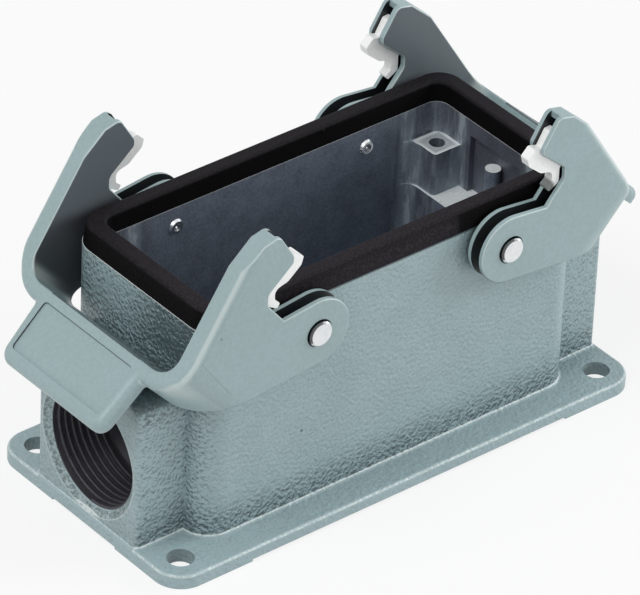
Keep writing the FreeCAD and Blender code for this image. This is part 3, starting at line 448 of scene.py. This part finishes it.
leverLook = {"colour": (0.322, 0.428, 0.444, 1), "patch": (0.310, 0.415, 0.426, 1), "patchNoise": (60, 3),
             "patchSpread": (0.35, 0.65), "mottle": (1300, 2, 0.6), "mottleSpread": (0.38, 0.62),
             "mottleShade": 0.075,
             "roughness": (0.32, 0.40), "roughNoise": (700, 2), "roughSpread": (0.3, 0.7),
             "grain": (1500, 2, 0.5), "bumpStrength": 0.12, "bumpDepth": 0.00003,
             "innerShade": (0.060, 0.066, 0.076, 1), "innerShadeLight": (0.125, 0.150, 0.168, 1),
             "innerFace": 22.13 * mm, "innerFacing": (-0.75, -0.35),
             "middle": inMm(-1.0, 1.0), "lightRise": inMm(52.5, 57.0),
             "slotShade": (0.020, 0.024, 0.027, 1), "slot": inMm(23.15, 25.65, 0.02),
             "slotFacing": (0.9, 0.97),
             "edge": (0.62, 0.70, 0.68, 1), "edgeLight": 0.6, "edgeFacing": (0.45, 0.85, 0.12),
             "edgeStart": 16.0 * mm, "edgeRise": inMm(38.0, 46.0),
             "outerFace": 26.5 * mm, "gate": inMm(-47.71, 54.23), "gateSize": inMm(0.2, 0.4), "gateMark": 0.5,
             "crease": inMm(-52.56, 50.77), "creaseSlope": (0.805, 0.5935), "creaseSize": inMm(0.02, 0.14),
             "creaseMark": 0.3, "gripSlope": math.radians(43.0), "groove": inMm(71.83, 72.24, 0.02),
             "grooveEnd": inMm(12.23, 12.43), "grooveShade": 0.8, "panelHalf": 13.5 * mm,
             "outerPlate": 25.5 * mm, "underFacing": (-0.6, -0.2), "underShade": 0.6}


def markAndShadeLever(tree, x, z, awayX, awayY, facingZ):
    # The mould's line and gate on the outer faces, with painted shade in the groove round the grip's panel
    # and along the lower edges.
    creaseX, creaseZ = leverLook["crease"]
    slopeX, slopeZ = leverLook["creaseSlope"]
    acrossCrease = total(tree, times(tree, minus(tree, x, creaseX), slopeX),
                         times(tree, minus(tree, z, creaseZ), slopeZ))
    crease = times(tree, below(tree, z, creaseZ), fade(tree, calc(tree, "ABSOLUTE", acrossCrease),
                                                       *leverLook["creaseSize"], leverLook["creaseMark"]))
    fromGate = away(tree, x, z, *leverLook["gate"])
    gate = fade(tree, fromGate, *leverLook["gateSize"], leverLook["gateMark"])
    onOuterFace = above(tree, awayY, leverLook["outerFace"])
    slopeSine = math.sin(leverLook["gripSlope"])
    slopeCosine = math.cos(leverLook["gripSlope"])
    offGrip = total(tree, times(tree, awayX, slopeSine), times(tree, z, slopeCosine))
    alongGrip = minus(tree, times(tree, awayX, slopeCosine), times(tree, z, slopeSine))
    groove = times(tree, bandOf(tree, offGrip, *leverLook["groove"]),
                   below(tree, awayY, leverLook["panelHalf"]),
                   fade(tree, alongGrip, *leverLook["grooveEnd"], leverLook["grooveShade"]))
    shadeUnderEdge = times(tree, fade(tree, facingZ, *leverLook["underFacing"], leverLook["underShade"]),
                      above(tree, awayY, leverLook["outerPlate"]))
    return most(tree, times(tree, most(tree, crease, gate), onOuterFace), groove, shadeUnderEdge)


def makeLeverMaterial():
    material, tree, shader = newMaterial("lever_plastic")
    place, x, y, z = objectPlace(tree)
    facingY, facingZ = objectNormal(tree)[1:]
    awayX = calc(tree, "ABSOLUTE", x)
    awayY = calc(tree, "ABSOLUTE", y)
    sideways = calc(tree, "ABSOLUTE", facingY)
    patches = ramp(tree, noise(tree, place, *leverLook["patchNoise"]), *leverLook["patchSpread"])
    colour = blendColours(tree, patches, leverLook["colour"], leverLook["patch"])
    mottle = ramp(tree, noise(tree, place, *leverLook["mottle"]), *leverLook["mottleSpread"],
                  0.0, leverLook["mottleShade"])
    colour = blendColours(tree, mottle, colour, leverLook["innerShade"])
    # Painted shade on the arms' inner faces, lighter on the right lever and high up, then painted shade in
    # the slots.
    outward = times(tree, facingY, calc(tree, "SIGN", y))
    onInside = times(tree, below(tree, awayY, leverLook["innerFace"]),
                     fade(tree, outward, *leverLook["innerFacing"]))
    lessShaded = most(tree, ramp(tree, x, *leverLook["middle"]), ramp(tree, z, *leverLook["lightRise"]))
    innerShade = blendColours(tree, lessShaded, leverLook["innerShade"], leverLook["innerShadeLight"])
    colour = blendColours(tree, onInside, colour, innerShade)
    inSlot = times(tree, ramp(tree, sideways, *leverLook["slotFacing"]),
                   bandOf(tree, awayY, *leverLook["slot"]))
    colour = blendColours(tree, inSlot, colour, leverLook["slotShade"])
    # Painted highlights along the edge roundings of the arms.
    edges = times(tree, bandOf(tree, sideways, *leverLook["edgeFacing"]),
                  above(tree, awayY, leverLook["edgeStart"]), ramp(tree, z, *leverLook["edgeRise"]),
                  leverLook["edgeLight"])
    colour = blendColours(tree, edges, colour, leverLook["edge"])
    marksAndShade = markAndShadeLever(tree, x, z, awayX, awayY, facingZ)
    plug(tree, blendColours(tree, marksAndShade, colour, leverLook["innerShade"]), shader.inputs["Base Color"])
    rough = ramp(tree, noise(tree, place, *leverLook["roughNoise"]), *leverLook["roughSpread"],
                 *leverLook["roughness"])
    plug(tree, rough, shader.inputs["Roughness"])
    grain = noise(tree, place, *leverLook["grain"])
    normal = bumps(tree, [(grain, leverLook["bumpStrength"], leverLook["bumpDepth"])])
    plug(tree, normal, shader.inputs["Normal"])
    return material


# Steel of the catches, with a painted shade on the near right one

catchLook = {"colour": (0.965, 0.975, 0.965, 1), "dull": (0.92, 0.935, 0.93, 1), "dullSpread": (0.35, 0.7),
             "metal": 0.05, "roughness": (0.36, 0.46), "roughSpread": (0.3, 0.7), "bumpStrength": 0.2,
             "bumpDepth": 0.00001, "stretch": (900, 6000, 900), "grain": (1, 3, 0.6),
             "shade": (0.035, 0.055, 0.048, 1), "shadeAt": inMm(33.2, 55.7),
             "shadeSize": inMm(1.2, 2.0), "shadeStrength": 0.85}


def makeCatchMaterial():
    material, tree, shader = newMaterial("catch_sheet")
    place, x, y, z = objectPlace(tree)
    grain = noise(tree, stretched(tree, place, catchLook["stretch"]), *catchLook["grain"])
    duller = ramp(tree, grain, *catchLook["dullSpread"])
    sheet = blendColours(tree, duller, catchLook["colour"], catchLook["dull"])
    fromShade = away(tree, x, z, *catchLook["shadeAt"])
    inShade = times(tree, fade(tree, fromShade, *catchLook["shadeSize"], catchLook["shadeStrength"]),
                    below(tree, y, 0.0))
    plug(tree, blendColours(tree, inShade, sheet, catchLook["shade"]), shader.inputs["Base Color"])
    shader.inputs["Metallic"].default_value = catchLook["metal"]
    rough = ramp(tree, grain, *catchLook["roughSpread"], *catchLook["roughness"])
    plug(tree, rough, shader.inputs["Roughness"])
    normal = bumps(tree, [(grain, catchLook["bumpStrength"], catchLook["bumpDepth"])])
    plug(tree, normal, shader.inputs["Normal"])
    return material


# Turned pins, with a painted shade as a dark crescent at the upper left of their heads

pinLook = {"colour": (0.79, 0.81, 0.81, 1), "dull": (0.74, 0.76, 0.78, 1), "dullNoise": (900, 3),
           "dullSpread": (0.35, 0.7), "rim": (0.03, 0.035, 0.035, 1), "rimStart": inMm(2.2, 2.4),
           "rimSide": inMm(0.4, 1.4), "rimStrength": 0.9, "roughness": (0.2, 0.28),
           "ringPitch": 0.12 * mm, "bumpStrength": 0.15, "bumpDepth": 0.000004}


def makePinMaterial():
    material, tree, shader = newMaterial("pin_steel")
    place, x, _, z = objectPlace(tree)
    radius = away(tree, calc(tree, "ABSOLUTE", x), z, *pivot)
    rings = calc(tree, "SINE", times(tree, radius, 2 * math.pi / pinLook["ringPitch"]))
    patches = ramp(tree, noise(tree, place, *pinLook["dullNoise"]), *pinLook["dullSpread"])
    metal = blendColours(tree, patches, pinLook["colour"], pinLook["dull"])
    # Painted shade: a dark crescent on the upper left of each head's rim.
    alongX = minus(tree, x, times(tree, calc(tree, "SIGN", x), pivot[0]))
    upLeft = minus(tree, minus(tree, z, pivot[1]), alongX)
    rim = times(tree, ramp(tree, radius, *pinLook["rimStart"]),
                ramp(tree, upLeft, *pinLook["rimSide"], 0.0, pinLook["rimStrength"]))
    plug(tree, blendColours(tree, rim, metal, pinLook["rim"]), shader.inputs["Base Color"])
    shader.inputs["Metallic"].default_value = 1.0
    plug(tree, ramp(tree, rings, -1, 1, *pinLook["roughness"]), shader.inputs["Roughness"])
    normal = bumps(tree, [(rings, pinLook["bumpStrength"], pinLook["bumpDepth"])])
    plug(tree, normal, shader.inputs["Normal"])
    return material


# Cut thread of the entry

threadLook = {"colour": (0.060, 0.057, 0.068, 1), "dark": (0.036, 0.034, 0.043, 1), "darkSpread": (0.35, 0.7),
              "stretch": (300, 1800, 1800), "lines": (1, 3, 0.6), "metal": 0.3, "roughness": 0.5,
              "bumpStrength": 0.25, "bumpDepth": 0.00002}


def makeThreadMaterial():
    material, tree, shader = newMaterial("cut_thread")
    place = objectPlace(tree)[0]
    lines = noise(tree, stretched(tree, place, threadLook["stretch"]), *threadLook["lines"])
    darker = ramp(tree, lines, *threadLook["darkSpread"])
    metal = blendColours(tree, darker, threadLook["colour"], threadLook["dark"])
    plug(tree, metal, shader.inputs["Base Color"])
    shader.inputs["Metallic"].default_value = threadLook["metal"]
    shader.inputs["Roughness"].default_value = threadLook["roughness"]
    normal = bumps(tree, [(lines, threadLook["bumpStrength"], threadLook["bumpDepth"])])
    plug(tree, normal, shader.inputs["Normal"])
    return material


looks = {"housing": makeHousingMaterial(), "gasket": makeSealMaterial(), "lever": makeLeverMaterial(),
         "catch": makeCatchMaterial(), "pin": makePinMaterial(), "thread": makeThreadMaterial()}

for nodeName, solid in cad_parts.items():
    kind = nodeName.split("_")[-1]
    solid.data.materials.clear()
    solid.data.materials.append(looks[kind])
print("materials on the solids")


# Entry thread: a ridge wound along the bore of the left boss

thread = {"radius": 12.5 * mm, "pitch": 1.5 * mm, "start": -56.4 * mm, "length": 10.6 * mm,
          "ridge": 0.52 * mm, "ridgeSides": 4, "stepsPerTurn": 72}


def geometryTree(name, inputs):
    # An empty tree with named inputs and one geometry output.
    tree = bpy.data.node_groups.new(name, "GeometryNodeTree")
    tree.interface.new_socket("Geometry", in_out="OUTPUT", socket_type="NodeSocketGeometry")
    for title, kind in inputs:
        tree.interface.new_socket(title, in_out="INPUT", socket_type=kind)
    return tree, tree.nodes.new("NodeGroupInput"), tree.nodes.new("NodeGroupOutput")


def runTree(name, tree, values):
    # Gives the tree an object, sets its inputs and keeps the result as a plain mesh.
    holder = bpy.data.objects.new(name + "_maker", bpy.data.meshes.new(name + "_maker"))
    bpy.context.scene.collection.objects.link(holder)
    modifier = holder.modifiers.new("make", "NODES")
    modifier.node_group = tree
    for item in tree.interface.items_tree:
        if item.in_out == "INPUT" and item.name in values:
            modifier[item.identifier] = values[item.name]
    bpy.context.view_layer.update()
    evaluated = holder.evaluated_get(bpy.context.evaluated_depsgraph_get())
    mesh = bpy.data.meshes.new_from_object(evaluated)
    bpy.data.objects.remove(holder)
    mesh.name = name
    piece = bpy.data.objects.new(name, mesh)
    bpy.context.scene.collection.objects.link(piece)
    return piece


def makeThreadTree():
    tree, start, end = geometryTree("entry_thread_tree", [("Turns", "NodeSocketFloat"),
                                                          ("Radius", "NodeSocketFloat"),
                                                          ("Length", "NodeSocketFloat"),
                                                          ("Ridge", "NodeSocketFloat"),
                                                          ("Steps", "NodeSocketInt"),
                                                          ("Place", "NodeSocketVector"),
                                                          ("Turn", "NodeSocketVector"),
                                                          ("Finish", "NodeSocketMaterial")])
    spiral = tree.nodes.new("GeometryNodeCurveSpiral")
    tree.links.new(start.outputs["Steps"], spiral.inputs["Resolution"])
    tree.links.new(start.outputs["Turns"], spiral.inputs["Rotations"])
    tree.links.new(start.outputs["Radius"], spiral.inputs["Start Radius"])
    tree.links.new(start.outputs["Radius"], spiral.inputs["End Radius"])
    tree.links.new(start.outputs["Length"], spiral.inputs["Height"])
    upright = tree.nodes.new("GeometryNodeSetCurveNormal")
    upright.mode = "Z_UP"
    profile = tree.nodes.new("GeometryNodeCurvePrimitiveCircle")
    profile.inputs["Resolution"].default_value = thread["ridgeSides"]
    tree.links.new(start.outputs["Ridge"], profile.inputs["Radius"])
    sweep = tree.nodes.new("GeometryNodeCurveToMesh")
    sweep.inputs["Fill Caps"].default_value = True
    lay = tree.nodes.new("GeometryNodeTransform")
    tree.links.new(start.outputs["Place"], lay.inputs["Translation"])
    tree.links.new(start.outputs["Turn"], lay.inputs["Rotation"])
    realize = tree.nodes.new("GeometryNodeRealizeInstances")
    paint = tree.nodes.new("GeometryNodeSetMaterial")
    tree.links.new(start.outputs["Finish"], paint.inputs["Material"])
    tree.links.new(spiral.outputs["Curve"], upright.inputs["Curve"])
    tree.links.new(upright.outputs["Curve"], sweep.inputs["Curve"])
    tree.links.new(profile.outputs["Curve"], sweep.inputs["Profile Curve"])
    tree.links.new(sweep.outputs["Mesh"], lay.inputs["Geometry"])
    tree.links.new(lay.outputs["Geometry"], realize.inputs["Geometry"])
    tree.links.new(realize.outputs["Geometry"], paint.inputs["Geometry"])
    tree.links.new(paint.outputs["Geometry"], end.inputs["Geometry"])
    return tree


entryThread = runTree("entry_thread", makeThreadTree(), {
    "Turns": thread["length"] / thread["pitch"], "Radius": thread["radius"], "Length": thread["length"],
    "Ridge": thread["ridge"], "Steps": thread["stepsPerTurn"],
    "Place": (thread["start"], 0.0, entry["height"]), "Turn": (0.0, math.pi / 2, 0.0),
    "Finish": looks["thread"]})
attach(entryThread, "base")
print("entry thread", len(entryThread.data.polygons))


# Two moulding nubs on the inside of the seal

nubs = {"radius": 0.42 * mm, "flatness": 0.7, "places": [inMm(12.4, 17.45, 54.0), inMm(-10.7, -17.45, 53.2)]}


def makeNubs():
    shape = bmesh.new()
    flat = Matrix.Diagonal((1.0, nubs["flatness"], 1.0, 1.0))
    for place in nubs["places"]:
        bmesh.ops.create_icosphere(shape, subdivisions=2, radius=nubs["radius"],
                                   matrix=Matrix.Translation(place) @ flat)
    mesh = bpy.data.meshes.new("seal_nubs")
    bmesh.ops.recalc_face_normals(shape, faces=shape.faces)
    shape.to_mesh(mesh)
    shape.free()
    for face in mesh.polygons:
        face.use_smooth = True
    mesh.materials.append(looks["gasket"])
    piece = bpy.data.objects.new("seal_nubs", mesh)
    bpy.context.scene.collection.objects.link(piece)
    return piece


sealNubs = makeNubs()
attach(sealNubs, "base")
print("seal nubs")


# Floor, lamps and world

# Each lamp has a name, a place, a size and a power. They aim at the middle of the housing.
studio = {"floorHalf": 3.0, "floorDrop": 0.05 * mm, "floorTone": 0.85, "floorRough": 0.9, "floorShine": 0.1,
          "floorGlow": 0.8, "worldLight": 0.42, "aim": (0.0, 0.0, 0.03),
          "lamps": [("front", (0.25, -1.1, 0.40), 0.9, 1.5), ("highLeft", (-0.75, 0.0, 1.05), 0.8, 8.0),
                    ("right", (1.0, -0.45, 0.45), 0.6, 6.4)]}


def whiteSeen(tree):
    # One for the rays that show the background, none for those that light the object.
    rays = tree.nodes.new("ShaderNodeLightPath").outputs
    return most(tree, rays["Is Camera Ray"], rays["Is Glossy Ray"], rays["Is Transmission Ray"])


def makeFloor():
    half = studio["floorHalf"]
    mesh = bpy.data.meshes.new("floor")
    corners = [(-half, -half, 0), (half, -half, 0), (half, half, 0), (-half, half, 0)]
    mesh.from_pydata(corners, [], [(0, 1, 2, 3)])
    floor = bpy.data.objects.new("floor", mesh)
    floor.location.z = -studio["floorDrop"]
    bpy.context.scene.collection.objects.link(floor)
    material, tree, shader = newMaterial("pale_floor")
    shader.inputs["Base Color"].default_value = grey(studio["floorTone"])
    shader.inputs["Roughness"].default_value = studio["floorRough"]
    shader.inputs["Specular IOR Level"].default_value = studio["floorShine"]
    glow = tree.nodes.new("ShaderNodeEmission")
    glow.inputs["Color"].default_value = grey(1.0)
    glow.inputs["Strength"].default_value = 1.0
    mix = tree.nodes.new("ShaderNodeMixShader")
    tree.links.new(times(tree, whiteSeen(tree), studio["floorGlow"]), mix.inputs[0])
    tree.links.new(shader.outputs[0], mix.inputs[1])
    tree.links.new(glow.outputs[0], mix.inputs[2])
    output = next(node for node in tree.nodes if node.type == "OUTPUT_MATERIAL")
    tree.links.new(mix.outputs[0], output.inputs["Surface"])
    mesh.materials.append(material)


def makeLamps():
    for name, place, size, power in studio["lamps"]:
        lamp = bpy.data.lights.new(name, "AREA")
        lamp.shape = "SQUARE"
        lamp.size = size
        lamp.energy = power
        holder = bpy.data.objects.new(name, lamp)
        holder.location = place
        aim = Vector(studio["aim"]) - Vector(place)
        holder.rotation_euler = aim.to_track_quat("-Z", "Y").to_euler()
        bpy.context.scene.collection.objects.link(holder)


def makeWorld():
    world = bpy.data.worlds.new("studio")
    world.use_nodes = True
    tree = world.node_tree
    tree.nodes.clear()
    soft = tree.nodes.new("ShaderNodeBackground")
    soft.inputs["Color"].default_value = grey(1.0)
    soft.inputs["Strength"].default_value = studio["worldLight"]
    white = tree.nodes.new("ShaderNodeBackground")
    white.inputs["Color"].default_value = grey(1.0)
    white.inputs["Strength"].default_value = 1.0
    mix = tree.nodes.new("ShaderNodeMixShader")
    output = tree.nodes.new("ShaderNodeOutputWorld")
    tree.links.new(whiteSeen(tree), mix.inputs[0])
    tree.links.new(soft.outputs[0], mix.inputs[1])
    tree.links.new(white.outputs[0], mix.inputs[2])
    tree.links.new(mix.outputs[0], output.inputs["Surface"])
    bpy.context.scene.world = world


makeFloor()
makeLamps()
makeWorld()
print("studio")


# Camera at the photograph's angle

shot = {"azimuth": -40.54, "elevation": 34.76, "roll": 2.68, "distance": 1283.79 * mm,
        "target": inMm(-1.35, 0.0, 29.83), "lens": 371.4, "sensorWidth": 36, "clip": (0.05, 50)}


def makeCamera():
    side = math.radians(shot["azimuth"])
    lift = math.radians(shot["elevation"])
    roll = math.radians(shot["roll"])
    back = Vector((math.sin(side) * math.cos(lift), -math.cos(side) * math.cos(lift), math.sin(lift)))
    right = (-back).cross(Vector((0, 0, 1))).normalized()
    up = right.cross(-back)
    rolledRight = right * math.cos(roll) + up * math.sin(roll)
    rolledUp = up * math.cos(roll) - right * math.sin(roll)
    lens = bpy.data.cameras.new("camera")
    lens.sensor_fit = "HORIZONTAL"
    lens.sensor_width = shot["sensorWidth"]
    lens.lens = shot["lens"]
    lens.clip_start, lens.clip_end = shot["clip"]
    camera = bpy.data.objects.new("camera", lens)
    axes = Matrix((rolledRight, rolledUp, back)).transposed().to_4x4()
    place = Vector(shot["target"]) + back * shot["distance"]
    camera.matrix_world = Matrix.Translation(place) @ axes
    bpy.context.scene.collection.objects.link(camera)
    bpy.context.scene.camera = camera


makeCamera()
bpy.context.scene.view_settings.view_transform = "Standard"
print("camera")
